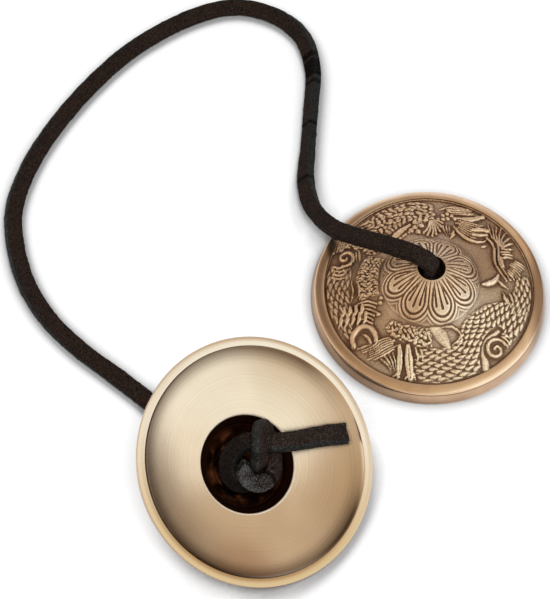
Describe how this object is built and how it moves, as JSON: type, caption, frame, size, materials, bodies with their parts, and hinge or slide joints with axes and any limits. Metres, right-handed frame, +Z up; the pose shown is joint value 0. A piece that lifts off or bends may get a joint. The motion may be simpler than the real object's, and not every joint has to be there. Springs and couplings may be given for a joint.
{
  "type": "tingsha",
  "caption": "Pair of small cast bronze cymbals with a dragon relief, joined by a leather thong that is knotted inside each boss.",
  "frame": {"origin": "centre of the two cymbals' box, on the surface they lie on", "axes": "+Z up from that surface, +Y away from the viewer of the picture, +X to the viewer's right"},
  "size_m": [0.1622, 0.2004, 0.0341],
  "materials": {
    "antique_bronze": "cast relief, darkened in the hollows and rubbed bright on the high places",
    "turned_bronze": "turned on a lathe, fine rings, satin",
    "dark_leather": "cut lace, smooth grain on one face and suede on the others"
  },
  "bodies": {
    "relief_cymbal": {"relief_cymbal": "antique_bronze"},
    "relief_knot": {"relief_knot": "dark_leather"},
    "thong": {"thong": "dark_leather"},
    "open_knot": {"open_knot": "dark_leather"},
    "open_cymbal": {"open_cymbal": "turned_bronze"}
  },
  "joints": [
    {"name": "relief_knot_turn", "type": "hinge", "parent": "relief_cymbal", "child": "relief_knot", "pos_m": [0.02482, 0.02902, 0.019], "axis": [0, 0, 1], "continuous": true},
    {"name": "thong_lift", "type": "hinge", "parent": "relief_knot", "child": "thong", "pos_m": [0.02482, 0.02902, 0.019], "axis": [0.53, 0.848, 0], "range_deg": [0, 90], "deforming": ["thong"]},
    {"name": "open_cymbal_tilt", "type": "hinge", "parent": "thong", "child": "open_knot", "pos_m": [-0.03358, -0.02553, 0.0018], "axis": [-0.5664, -0.8241, 0], "range_deg": [-60, 44], "deforming": ["thong"]},
    {"name": "open_cymbal_turn", "type": "hinge", "parent": "open_knot", "child": "open_cymbal", "pos_m": [-0.03358, -0.02553, 0.0018], "axis": [0.3619, -0.2487, 0.8984], "continuous": true}
  ]
}
